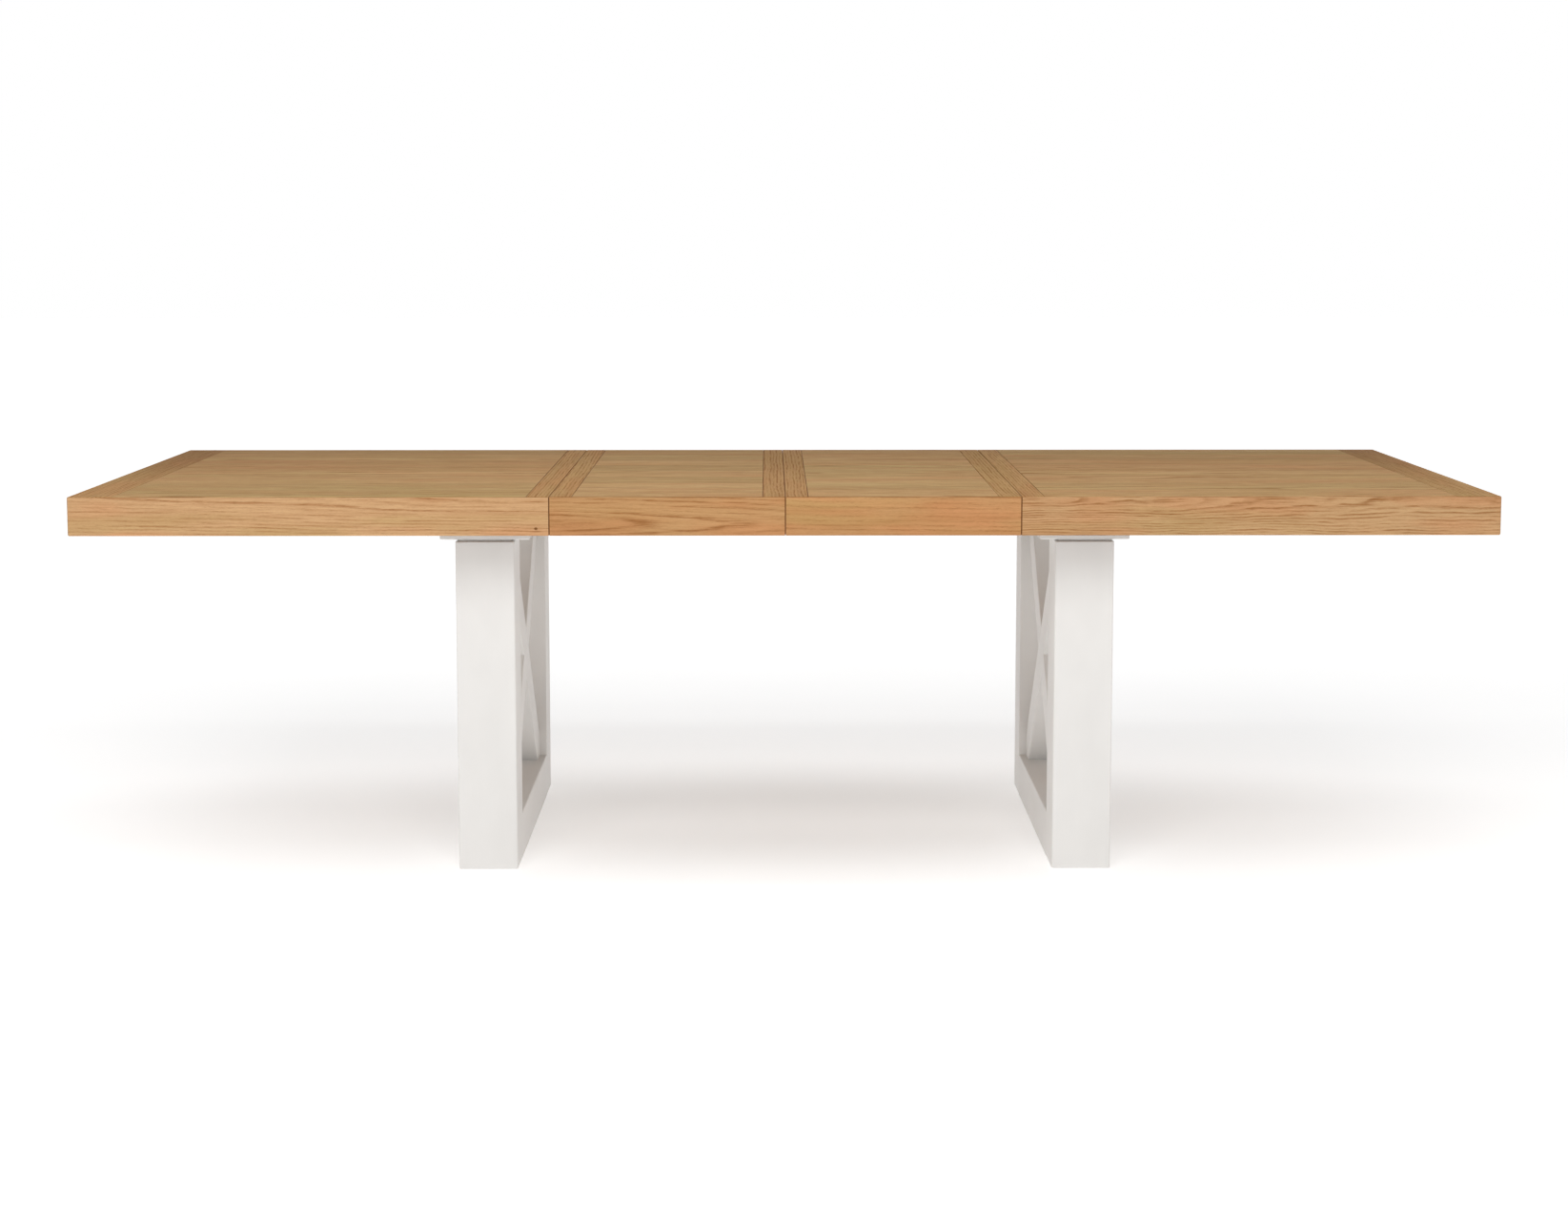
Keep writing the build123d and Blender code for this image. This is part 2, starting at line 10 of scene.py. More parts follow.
import bpy
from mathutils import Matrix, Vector


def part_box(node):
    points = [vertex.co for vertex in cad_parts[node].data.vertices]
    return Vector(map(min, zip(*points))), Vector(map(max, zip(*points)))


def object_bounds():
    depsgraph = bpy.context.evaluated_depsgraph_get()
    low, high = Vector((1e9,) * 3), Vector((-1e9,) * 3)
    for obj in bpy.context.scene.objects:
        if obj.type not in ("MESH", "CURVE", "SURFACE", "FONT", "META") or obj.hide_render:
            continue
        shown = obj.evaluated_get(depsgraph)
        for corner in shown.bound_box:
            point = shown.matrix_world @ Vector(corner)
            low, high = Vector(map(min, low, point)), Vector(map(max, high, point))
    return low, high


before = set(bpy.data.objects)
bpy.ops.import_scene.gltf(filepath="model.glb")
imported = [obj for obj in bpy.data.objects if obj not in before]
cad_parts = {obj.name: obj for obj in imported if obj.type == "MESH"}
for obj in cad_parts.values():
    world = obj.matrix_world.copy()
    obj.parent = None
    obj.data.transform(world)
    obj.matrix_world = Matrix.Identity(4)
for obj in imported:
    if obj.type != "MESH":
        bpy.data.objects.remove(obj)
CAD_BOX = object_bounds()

log = logging.getLogger("dining_table")

Colour = tuple[float, float, float, float]
Tint = tuple[float, float, float]
Point = tuple[float, float, float]
Span = tuple[float, float]
Number = Union["Signal", float]
Place = tuple["Signal", "Signal", "Signal"]
Socket = bpy.types.NodeSocket
Shade = Union[Socket, Colour]

# Where a Mix node has its factor, its two colours and its result.
MIX_FACTOR, MIX_UNDER, MIX_OVER, MIX_RESULT = 0, 6, 7, 2

# Sizes in metres. The top reaches as far as the whole table does.
OUTSIDE: Point = tuple(CAD_BOX[1])
TOP_HALF_LENGTH, TOP_HALF_WIDTH, _ = OUTSIDE
LEAF_LENGTH = 0.450

# How far apart two pieces lie in the noise that their grain is drawn from.
SEED_STEP = 13.7

# How much the finer noise counts in the grain.
GRAIN_ROUGHNESS = 0.55

# How dark wood is between its rings, and where on that scale its pale and its dark colour stand.
PLAIN_DARKNESS = 0.18
DARKNESS_SPAN: Span = (-0.35, 1.25)

# How much the rings show in wood that was picked for its straight grain.
STRAIGHT_LINES = 0.4


def tone(red: float, green: float, blue: float) -> Colour:
    """Turns a colour as a paint chart gives it into the linear light that a shader takes.

    Args:
        red: Red from 0 to 255.
        green: Green from 0 to 255.
        blue: Blue from 0 to 255.

    Returns:
        The same colour in linear light, with full opacity.
    """

    def linear(part: float) -> float:
        """One part of the colour in linear light, by the usual curve of screens."""
        share = part / 255.0
        return share / 12.92 if share <= 0.04045 else ((share + 0.055) / 1.055) ** 2.4

    return linear(red), linear(green), linear(blue), 1.0


def grey(level: float) -> Colour:
    """A grey from 0 to 1 in linear light."""
    return level, level, level, 1.0


def shaded(colour: Colour, tint: Tint) -> Colour:
    """A colour multiplied by a tint."""
    return colour[0] * tint[0], colour[1] * tint[1], colour[2] * tint[2], colour[3]


@dataclass(frozen=True)
class Blots:
    """A layer of soft noise.

    rates are its blots to a metre along a piece, across it and into it; detail is its octaves of
    finer noise, and rough is how much they count; offset keeps it apart from other layers; span is
    where its blots begin and where they are full, and none where the noise is used as it is.
    """

    rates: tuple[float, float, float]
    detail: float = 2.0
    rough: float = 0.5
    offset: float = 0.0
    span: Optional[Span] = None

    def shaped(self, noise: "Signal") -> "Signal":
        """The noise, or 1 where its blots are full and 0 between them if the layer has a span."""
        return noise.rise(*self.span) if self.span else noise


@dataclass(frozen=True)
class Relief:
    """How deep the relief of a surface is, in metres, and how much of it is used."""

    depth: float
    strength: float


class Blend(Enum):
    """The ways to lay one colour over another."""

    COVER = "MIX"
    TINT = "MULTIPLY"


class Signal:
    """A number that runs through a node tree and takes part in plain sums."""

    def __init__(self, graph: "Graph", socket: Socket) -> None:
        """Keeps the socket and the graph that it belongs to."""
        self.graph = graph
        self.socket = socket

    def sum_of(self, operation: str, *terms: Number) -> "Signal":
        """Adds one Math node, with its inputs in order, and gives its result."""
        inputs = dict(enumerate(terms))
        return self.graph.number("ShaderNodeMath", {"operation": operation}, inputs)

    def __add__(self, other: Number) -> "Signal":
        """self + other."""
        return self.sum_of("ADD", self, other)

    def __radd__(self, other: float) -> "Signal":
        """other + self."""
        return self.sum_of("ADD", other, self)

    def __sub__(self, other: Number) -> "Signal":
        """self - other."""
        return self.sum_of("SUBTRACT", self, other)

    def __rsub__(self, other: float) -> "Signal":
        """other - self."""
        return self.sum_of("SUBTRACT", other, self)

    def __mul__(self, other: Number) -> "Signal":
        """self * other."""
        return self.sum_of("MULTIPLY", self, other)

    def __rmul__(self, other: float) -> "Signal":
        """other * self."""
        return self.sum_of("MULTIPLY", other, self)

    def __truediv__(self, other: Number) -> "Signal":
        """self / other."""
        return self.sum_of("DIVIDE", self, other)

    def __rtruediv__(self, other: float) -> "Signal":
        """other / self."""
        return self.sum_of("DIVIDE", other, self)

    def __abs__(self) -> "Signal":
        """The value without its sign."""
        return self.sum_of("ABSOLUTE", self)

    def floor(self) -> "Signal":
        """The whole number below."""
        return self.sum_of("FLOOR", self)

    def fraction(self) -> "Signal":
        """What is left above the whole number."""
        return self.sum_of("FRACT", self)

    def root(self) -> "Signal":
        """The square root."""
        return self.sum_of("SQRT", self)

    def most(self, other: Number) -> "Signal":
        """The larger of two values."""
        return self.sum_of("MAXIMUM", self, other)

    def between(self, low: float, high: float) -> "Signal":
        """Stretches 0 to 1 over low to high."""
        return low + (high - low) * self

    def swing(self, reach: float) -> "Signal":
        """Stretches 0 to 1 over as much as reach to either side of zero."""
        return (self - 0.5) * (2.0 * reach)

    def rise(self, low: Number, high: Number) -> "Signal":
        """Climbs smoothly from 0 at low to 1 at high.

        Args:
            low: Value where the climb starts.
            high: Value where it ends.

        Returns:
            The smooth step.
        """
        settings = {"interpolation_type": "SMOOTHSTEP"}
        inputs = {"Value": self, "From Min": low, "From Max": high}
        return self.graph.number("ShaderNodeMapRange", settings, inputs)

    def fall(self, low: Number, high: Number) -> "Signal":
        """Drops smoothly from 1 at low to 0 at high."""
        return 1.0 - self.rise(low, high)


class Graph:
    """A node tree that finishes are drawn up in."""

    def __init__(self, tree: bpy.types.NodeTree) -> None:
        """Takes the tree over and empties it."""
        self.tree = tree
        tree.nodes.clear()

    def node(
        self,
        kind: str,
        settings: Optional[dict[str, Any]] = None,
        inputs: Optional[dict[Union[str, int], Any]] = None,
    ) -> bpy.types.Node:
        """Creates any node.

        Args:
            kind: The node's type.
            settings: Its properties, which are set before its sockets; a ramp's stops are
                given as pairs of place and colour.
            inputs: Its sockets by name or number, each with a value, a socket or a Signal.

        Returns:
            The new node.
        """
        made = self.tree.nodes.new(kind)
        for name, value in (settings or {}).items():
            if name == "stops":
                self.set_stops(made.color_ramp, value)
            else:
                setattr(made, name, value)
        for key, value in (inputs or {}).items():
            if isinstance(value, Signal):
                value = value.socket
            if isinstance(value, Socket):
                self.tree.links.new(value, made.inputs[key])
            else:
                made.inputs[key].default_value = value
        return made

    def set_stops(self, ramp: bpy.types.ColorRamp, stops: list[tuple[float, Colour]]) -> None:
        """Gives a ramp steps of even colour.

        Args:
            ramp: The ramp.
            stops: Where each step starts, and its colour.
        """
        ramp.interpolation = "CONSTANT"
        while len(ramp.elements) < len(stops):
            ramp.elements.new(1.0)
        for element, (start, colour) in zip(ramp.elements, stops):
            element.position = start
            element.color = colour

    def number(self, kind: str, settings: dict[str, Any], inputs: dict[Union[str, int], Any]) -> Signal:
        """Creates a node whose first output is a number, and gives that number."""
        return Signal(self, self.node(kind, settings, inputs).outputs[0])

    def split(self, vector: Socket) -> Place:
        """The three parts of a vector or colour."""
        made = self.node("ShaderNodeSeparateXYZ", None, {0: vector})
        return tuple(Signal(self, made.outputs[part]) for part in range(3))

    def place(self) -> Place:
        """Where on the table a point is, in metres."""
        return self.split(self.node("ShaderNodeTexCoord").outputs["Object"])

    def vector(self, *parts: Number) -> Socket:
        """Joins three numbers into a vector."""
        return self.node("ShaderNodeCombineXYZ", None, dict(enumerate(parts))).outputs[0]

    def noise(self, layer: Blots, place: Place, shift: Number = 0.0) -> Signal:
        """Soft noise around one half.

        Args:
            layer: What the noise is like.
            place: Where a point is, along its piece, across it and into it.
            shift: Moves the noise along the piece.

        Returns:
            The noise, from 0 to 1.
        """
        along, across, into = (part * rate for part, rate in zip(place, layer.rates))
        offset = layer.offset
        where = self.vector(along + shift + offset, across + offset, into - offset)
        inputs = {"Vector": where, "Scale": 1.0, "Detail": layer.detail, "Roughness": layer.rough}
        return self.number("ShaderNodeTexNoise", {"noise_dimensions": "3D"}, inputs)

    def chance(self, value: Signal) -> Place:
        """Three numbers from 0 to 1 that differ for each whole value."""
        made = self.node("ShaderNodeTexWhiteNoise", {"noise_dimensions": "1D"}, {"W": value})
        return self.split(made.outputs["Color"])

    def steps(self, share: Signal, colours: list[Colour]) -> Socket:
        """Picks one of several colours, by a share from 0 at the first to 1 past the last."""
        stops = [(number / len(colours), colour) for number, colour in enumerate(colours)]
        return self.node("ShaderNodeValToRGB", {"stops": stops}, {"Fac": share}).outputs["Color"]

    def mix(self, factor: Number, under: Shade, over: Shade, blend: Blend = Blend.COVER) -> Socket:
        """Lays one colour over another.

        Args:
            factor: How much of the upper colour shows.
            under: The lower colour.
            over: The upper colour.
            blend: How the upper one is laid.

        Returns:
            The blended colour.
        """
        settings = {"data_type": "RGBA", "blend_type": blend.value}
        inputs = {MIX_FACTOR: factor, MIX_UNDER: under, MIX_OVER: over}
        return self.node("ShaderNodeMix", settings, inputs).outputs[MIX_RESULT]

    def bump(self, height: Signal, relief: Relief) -> Socket:
        """The normal that surface relief gives, from its height between 0 and 1."""
        inputs = {"Height": height, "Distance": relief.depth, "Strength": relief.strength}
        return self.node("ShaderNodeBump", None, inputs).outputs[0]

    def surface(self, **inputs: Any) -> None:
        """Ends the tree in one shader.

        Args:
            inputs: The shader's sockets by name, with _ for spaces.
        """
        named = {key.replace("_", " "): value for key, value in inputs.items()}
        shader = self.node("ShaderNodeBsdfPrincipled", None, named)
        self.node("ShaderNodeOutputMaterial", None, {"Surface": shader.outputs[0]})


def new_material(name: str) -> tuple[bpy.types.Material, Graph]:
    """Makes an empty material.

    Args:
        name: The material's name.

    Returns:
        The material and the graph to draw it in.
    """
    material = bpy.data.materials.new(name)
    material.use_nodes = True
    return material, Graph(material.node_tree)


class Side(Enum):
    """The two ends of the table."""

    LEFT = "left"
    RIGHT = "right"

    @property
    def sign(self) -> float:
        """Which way X runs towards this end."""
        return -1.0 if self is Side.LEFT else 1.0


class Cut(Enum):
    """How a piece lies in its log, by the table's X, Y and Z: along the grain, across it and into it."""

    LONG_FLAT = (0, 1, 2)
    LONG_EDGE = (0, 2, 1)
    CROSS_FLAT = (1, 0, 2)
    CROSS_EDGE = (1, 2, 0)
    UPRIGHT = (2, 0, 1)

    def turned(self, place: Place, middle: Vector) -> Place:
        """Where a point lies from the middle of its piece, along the grain, across it and into it."""
        return tuple(place[axis] - middle[axis] for axis in self.value)


class Stock(Enum):
    """The planks that a section's pieces are sawn from, counted so that no two look alike."""

    OUTER_STRIP = 2.0
    INNER_STRIP = 3.0
    REAR_APRON = 5.0
    END_APRON = 6.0
    BLOCKS = 7.0
    FRONT_RUNNER = 8.0
    REAR_RUNNER = 9.0


class Mitre(Enum):
    """The outside arrises that are mitred, each by the two ways that its faces look."""

    LONG = (1, 2)
    END = (0, 2)
    CORNER = (0, 1)


class Hidden(Enum):
    """The faces that nobody sees, each by the way that it looks."""

    BEHIND_END = 0
    BEHIND_LONG_EDGE = 1
    UNDER = 2


class BoardTone(Enum):
    """The tones that boards are sorted by before a top is glued up."""

    GOLD = (1.0, 1.0, 1.0)
    OLIVE = (0.92, 0.965, 0.93)
    ROSY = (0.97, 0.92, 0.90)
    BROWN = (0.91, 0.895, 0.865)


def behind(place: Place, way: int) -> Signal:
    """How far a point lies behind the outside of the top, one way."""
    return OUTSIDE[way] - abs(place[way])


class Mark(ABC):
    """Something dark on the wood: a glue line, a knot, a dark joint, a darker hidden face, or painted
    shade at a seam.
    """

    @abstractmethod
    def mask(self, graph: Graph, place: Place) -> Signal:
        """Where the mark shows.

        Args:
            graph: The tree it is drawn in.
            place: Where on the table a point is.

        Returns:
            1 on the mark and 0 off it.
        """


@dataclass(frozen=True)
class MitreLine(Mark):
    """The glue line that shows in stretches along a mitred arris."""

    arris: Mitre
    half_width: Span = (0.00052, 0.0013)
    strength: float = 0.75
    faintest: float = 0.25
    stretches: Blots = Blots((6.0, 6.0, 40.0), detail=3.0, span=(0.40, 0.58))

    def mask(self, graph: Graph, place: Place) -> Signal:
        """Where the line shows.

        Args:
            graph: The tree it is drawn in.
            place: Where on the table a point is.

        Returns:
            1 on the line and 0 off it.
        """
        first, second = (behind(place, way) for way in self.arris.value)
        line = abs(first - second).fall(*self.half_width)
        shown = self.stretches.shaped(graph.noise(self.stretches, place))
        return line * shown.between(self.faintest, 1.0) * self.strength


@dataclass(frozen=True)
class JointLine(Mark):
    """The dark line in the groove where a cross strip meets the boards."""

    x: float
    half_width: Span = (0.0006, 0.0010)
    depth: Span = (0.0010, 0.0014)
    strength: float = 0.85
    faintest: float = 0.55
    stretches: Blots = Blots((3.0, 7.0, 1.0), span=(0.35, 0.55))

    def mask(self, graph: Graph, place: Place) -> Signal:
        """Where the line shows, a little broken along its length.

        Args:
            graph: The tree it is drawn in.
            place: Where on the table a point is.

        Returns:
            1 on the line and 0 off it.
        """
        line = abs(place[0] - self.x).fall(*self.half_width)
        top = behind(place, 2).fall(*self.depth)
        shown = self.stretches.shaped(graph.noise(self.stretches, place))
        return line * top * shown.between(self.faintest, 1.0) * self.strength


@dataclass(frozen=True)
class SeamShade(Mark):
    """Painted shade on the eased edges of a seam, outside and never on the faces that meet."""

    x: float
    half_width: Span = (0.00091, 0.0013)
    depth: Span = (0.00096, 0.0012)
    on_top: float = 0.50
    in_front: float = 0.92

    def mask(self, graph: Graph, place: Place) -> Signal:
        """Where the seam's shade is painted.

        Args:
            graph: Not used.
            place: Where on the table a point is.

        Returns:
            1 on the eased edge and 0 off it.
        """
        line = abs(place[0] - self.x).fall(*self.half_width)
        top = behind(place, 2).fall(*self.depth)
        side = behind(place, 1).fall(*self.depth)
        return line * (top * self.on_top).most(side * self.in_front)


@dataclass(frozen=True)
class PinKnot(Mark):
    """A pin knot in a front board, a little longer than it is high."""

    x: float
    z: float
    radius: Span = (0.00162, 0.0036)
    flatness: float = 0.8
    strength: float = 0.85

    def mask(self, graph: Graph, place: Place) -> Signal:
        """Where the knot is.

        Args:
            graph: Not used.
            place: Where on the table a point is.

        Returns:
            1 in the knot and 0 outside it.
        """
        along = (place[0] - self.x) * self.flatness
        up = place[2] - self.z
        away = (along * along + up * up).root()
        return away.fall(*self.radius) * self.strength


@dataclass(frozen=True)
class DarkerHiddenFace(Mark):
    """A darker colour on the hidden faces under and behind the top."""

    face: Hidden
    depth: Span = (0.0208, 0.0216)
    strength: float = 0.6

    def mask(self, graph: Graph, place: Place) -> Signal:
        """How much darker a hidden face is, and 0 elsewhere."""
        return behind(place, self.face.value).rise(*self.depth) * self.strength


@dataclass(frozen=True)
class Feel:
    """What a surface of plain wood has, and what dark bands, pores and fibres add to it."""

    plain: float
    band: float
    pore: float
    fibre: float

    def of(self, band: Signal, pore: Signal, fibre: Signal) -> Signal:
        """What one point of the surface has."""
        return self.plain + self.band * band + self.pore * pore + self.fibre * fibre


@dataclass(frozen=True)
class Timber:
    """One kind of wood under its lacquer: its colours, how open its pores are and how it feels.

    pores is how dark the pores are, and sparse is what is left of them between the dark bands.
    """

    name: str
    pale: Colour
    line: Colour
    warm: Colour
    cool: Colour
    pore: Colour
    # The colour of glue lines, knots and joints, also used for darker hidden faces and the painted shade
    # of seams.
    glue_and_shade: Colour
    pores: float
    rough: Feel
    height: Feel = Feel(plain=0.5, band=-0.30, pore=-0.45, fibre=0.25)
    relief: Relief = Relief(depth=0.00025, strength=0.6)
    sparse: float = 0.30
    shine: float = 0.10


OAK = Timber(
    name="oak",
    pale=tone(213, 170, 123),
    line=tone(163, 111, 66),
    warm=tone(215, 159, 113),
    cool=tone(202, 166, 114),
    pore=tone(124, 82, 46),
    glue_and_shade=tone(104, 62, 28),
    pores=0.62,
    rough=Feel(plain=0.74, band=0.10, pore=0.12, fibre=-0.05),
)

BEECH = Timber(
    name="beech",
    pale=tone(216, 188, 152),
    line=tone(190, 154, 114),
    warm=tone(214, 176, 138),
    cool=tone(206, 182, 142),
    pore=tone(156, 114, 78),
    glue_and_shade=tone(140, 102, 66),
    pores=0.35,
    rough=Feel(plain=0.66, band=0.10, pore=0.12, fibre=-0.05),
)


def drawn_out(
    along: float, across: float, offset: float, detail: float = 2.0, span: Optional[Span] = None
) -> Blots:
    """A layer whose blots are drawn out along the grain, with its rates along it and across it."""
    return Blots((along, across, across), detail, GRAIN_ROUGHNESS, offset, span)


class Grain(Enum):
    """The layers that the figure of wood is made up from."""

    BEND = drawn_out(1.1, 6.0, 0.0)
    SWAY = drawn_out(1.6, 8.0, 7.3)
    WAVE = drawn_out(6.0, 16.0, 3.1, 3.0)
    DASH = drawn_out(20.0, 320.0, 29.0, 1.0, (0.38, 0.60))
    FIBRE = drawn_out(14.0, 300.0, 1.7)
    STREAK = drawn_out(3.0, 95.0, 5.9)
    BROAD = drawn_out(0.8, 10.0, 9.1, 3.0)
    BLUSH = drawn_out(3.0, 14.0, 11.3, span=(0.44, 0.62))
    OLIVE = drawn_out(2.0, 16.0, 17.9, span=(0.46, 0.66))
    DOTS = drawn_out(60.0, 1300.0, 23.0, 1.0, (0.58, 0.68))
    SLITS = drawn_out(130.0, 2800.0, 41.0, 1.0, (0.56, 0.63))


@dataclass(frozen=True)
class Growth:
    """How the rings of a log run through a board that is sawn from it.

    heart is where the middle of the log lies from the middle of the board, across its face and
    into it; slope is how far it drifts over a metre; ring is a year's growth; wander and wave are
    the most that the rings bend over a long and over a short stretch; dark is where in a year the
    wood is darkest and where it is pale again; faintest is the weakest year, and broken is what is
    left of a ring between its dashes.
    """

    heart: tuple[float, float] = (0.16, 0.06)
    slope: tuple[float, float] = (0.0, 0.012)
    ring: float = 0.0065
    wander: float = 0.016
    wave: float = 0.003
    dark: Span = (0.20, 0.80)
    faintest: float = 0.35
    broken: float = 0.20


@dataclass
class Lie:
    """Where a point lies in its board, and how that board grew.

    place is along the grain, across it and into it, from the middle of the board; share is how far
    back the board lies, from 0 to 1, where a piece has several.
    """

    graph: Graph
    place: Place
    shift: Number
    heart: tuple[Number, Number]
    slope: tuple[Number, Number]
    share: Optional[Signal] = None

    def noise(self, layer: Grain) -> Signal:
        """One layer of the grain, from 0 to 1."""
        return self.graph.noise(layer.value, self.place, self.shift)

    def blots(self, layer: Grain) -> Signal:
        """The blots of one layer, 1 where they are full and 0 between them."""
        return layer.value.shaped(self.noise(layer))

    def rings(self, growth: Growth) -> Signal:
        """The dark bands of early growth.

        Args:
            growth: How the rings run.

        Returns:
            1 in the darkest part of a ring and 0 between the rings.
        """
        along, across, into = self.place
        bend = self.noise(Grain.BEND).swing(growth.wander)
        sway = self.noise(Grain.SWAY).swing(growth.wander)
        wave = self.noise(Grain.WAVE).swing(growth.wave)
        side = across - self.heart[0] + along * self.slope[0] + bend
        deep = into - self.heart[1] + along * self.slope[1] + sway
        phase = ((side * side + deep * deep).root() + wave) / growth.ring
        turn = phase.fraction()
        year = self.graph.chance(phase.floor())[0].between(growth.faintest, 1.0)
        dash = self.blots(Grain.DASH).between(growth.broken, 1.0)
        return turn.rise(0.0, growth.dark[0]) * turn.fall(*growth.dark) * year * dash


@dataclass(frozen=True)
class GlueUp:
    """Boards that are glued up side by side, with their tones from front to back.

    heart_side, heart_depth and slope are how far the boards differ in the way that they were sawn;
    apart is how far they lie from each other in the noise.
    """

    tones: tuple[BoardTone, ...]
    heart_side: float = 0.15
    heart_depth: Span = (0.02, 0.12)
    slope: float = 0.03
    apart: float = 31.0

    def lie(self, graph: Graph, place: Place, shift: float) -> Lie:
        """Works out which board a point is in, and how it lies there.

        Args:
            graph: The tree it is drawn in.
            place: Where the point lies from the middle of the boards.
            shift: Sets these boards apart from others.

        Returns:
            The lie in that board.
        """
        along, across, into = place
        count = len(self.tones)
        width = 2.0 * TOP_HALF_WIDTH / count
        number = (across / width + count / 2.0).floor()
        first, second, third = graph.chance(number + shift)
        across = across - (number + (0.5 - count / 2.0)) * width
        heart = (first.swing(self.heart_side), second.between(*self.heart_depth))
        slope = (0.0, third.swing(self.slope))
        moved = first * self.apart + shift
        return Lie(graph, (along, across, into), moved, heart, slope, (number + 0.5) / count)

    def toned(self, lie: Lie, colour: Socket) -> Socket:
        """Gives each board its own tone."""
        tones = [shaded(grey(1.0), board.value) for board in self.tones]
        return lie.graph.mix(1.0, colour, lie.graph.steps(lie.share, tones), Blend.TINT)


@dataclass(frozen=True)
class Finish(ABC):
    """What one of the table's solids is finished with."""

    node: str

    @property
    @abstractmethod
    def kind(self) -> str:
        """The finish in one word."""

    @abstractmethod
    def draw(self, graph: Graph, middle: Vector) -> None:
        """Draws the finish.

        Args:
            graph: The tree it is drawn in.
            middle: Middle of the solid.
        """

    def dress(self) -> str:
        """Puts the finish on its solid.

        Returns:
            A line for the report.
        """
        name = f"{self.kind}_{self.node}"
        material, graph = new_material(name)
        low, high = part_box(self.node)
        self.draw(graph, (low + high) / 2.0)
        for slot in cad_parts[self.node].material_slots:
            slot.link = "OBJECT"
            slot.material = material
        return f"{self.node}: {name}"


@dataclass(frozen=True)
class BoardFinish(Finish):
    """Lacquered wood of one piece, sawn as one board or glued up from several.

    lines, streaks, fibres, bands and patches are how much each of them shows; the rear tint, where
    given, is painted shade that darkens a cross strip towards the rear of the table.
    """

    timber: Timber
    cut: Cut
    seed: float
    growth: Growth = Growth()
    lines: float = 1.1
    streaks: float = 0.30
    fibres: float = 0.40
    bands: float = 0.25
    patches: float = 0.6
    tint: Tint = (1.0, 1.0, 1.0)
    rear_shade_tint: Optional[Tint] = None
    boards: Optional[GlueUp] = None
    marks: tuple[Mark, ...] = ()

    @property
    def kind(self) -> str:
        """The finish in one word."""
        return self.timber.name

    def lie(self, graph: Graph, place: Place) -> Lie:
        """Works out how a point lies in its board.

        Args:
            graph: The tree it is drawn in.
            place: Where the point lies from the middle of the piece.

        Returns:
            The lie.
        """
        shift = SEED_STEP * self.seed
        if self.boards is not None:
            return self.boards.lie(graph, place, shift)
        return Lie(graph, place, shift, self.growth.heart, self.growth.slope)

    def figure(self, lie: Lie, band: Signal, fibre: Signal) -> Socket:
        """Draws the wood without its pores and marks.

        Args:
            lie: Where a point lies in its board.
            band: The dark bands of early growth.
            fibre: The fibres.

        Returns:
            The colour of the wood.
        """
        graph, wood = lie.graph, self.timber
        dark = PLAIN_DARKNESS + band * self.lines + lie.noise(Grain.STREAK).swing(self.streaks)
        dark = dark + fibre.swing(self.fibres) + lie.noise(Grain.BROAD).swing(self.bands)
        shades = (wood.pale, wood.line, wood.warm, wood.cool)
        pale, line, warm, cool = (shaded(shade, self.tint) for shade in shades)
        ground = graph.mix(lie.blots(Grain.BLUSH) * self.patches, pale, warm)
        ground = graph.mix(lie.blots(Grain.OLIVE) * self.patches, ground, cool)
        return graph.mix(dark.rise(*DARKNESS_SPAN), ground, line)

    def painted_rear_shade(self, lie: Lie, colour: Socket, rear_shade_tint: Tint) -> Socket:
        """Paints shade that darkens the colour towards the rear of the table.

        Args:
            lie: Where a point lies in a cross strip.
            colour: The colour at the front.
            rear_shade_tint: The tint at the rear.

        Returns:
            The colour that changes.
        """
        change = tuple(far / near for far, near in zip(rear_shade_tint, self.tint))
        towards = lie.place[0].rise(-TOP_HALF_WIDTH, TOP_HALF_WIDTH)
        rear = lie.graph.mix(1.0, colour, shaded(grey(1.0), change), Blend.TINT)
        return lie.graph.mix(towards, colour, rear)

    def draw(self, graph: Graph, middle: Vector) -> None:
        """Draws the wood.

        Args:
            graph: The tree it is drawn in.
            middle: Middle of the piece, which the log's heart is measured from.
        """
        wood = self.timber
        place = graph.place()
        lie = self.lie(graph, self.cut.turned(place, middle))
        band = lie.rings(self.growth)
        fibre = lie.noise(Grain.FIBRE)
        open_pores = lie.blots(Grain.DOTS).most(lie.blots(Grain.SLITS))
        pore = open_pores * band.between(wood.sparse, 1.0) * wood.pores
        colour = self.figure(lie, band, fibre)
        if self.boards is not None:
            colour = self.boards.toned(lie, colour)
        # Painted shade: a cross strip with a rear tint darkens towards the rear of the table.
        if self.rear_shade_tint is not None:
            colour = self.painted_rear_shade(lie, colour, self.rear_shade_tint)
        colour = graph.mix(pore, colour, wood.pore)
        # Dark marks, among them the painted shade of the seams.
        for mark in self.marks:
            colour = graph.mix(mark.mask(graph, place), colour, wood.glue_and_shade)
        graph.surface(
            Base_Color=colour,
            Roughness=wood.rough.of(band, pore, fibre),
            Normal=graph.bump(wood.height.of(band, pore, fibre), wood.relief),
            Specular_IOR_Level=wood.shine,
        )


@dataclass(frozen=True)
class CoatLayer:
    """One layer of a coat, and how much it changes the colour, the roughness and the relief."""

    blots: Blots
    shade: float = 0.0
    rough: float = 0.0
    height: float = 0.0


@dataclass(frozen=True)
class Coat:
    """What a piece has in place of bare wood: its two colours, its layers and its gloss."""

    name: str
    colour: Colour
    shade: Colour
    layers: tuple[CoatLayer, ...]
    rough: float
    relief: Relief
    shine: float = 0.5
    metallic: float = 0.0


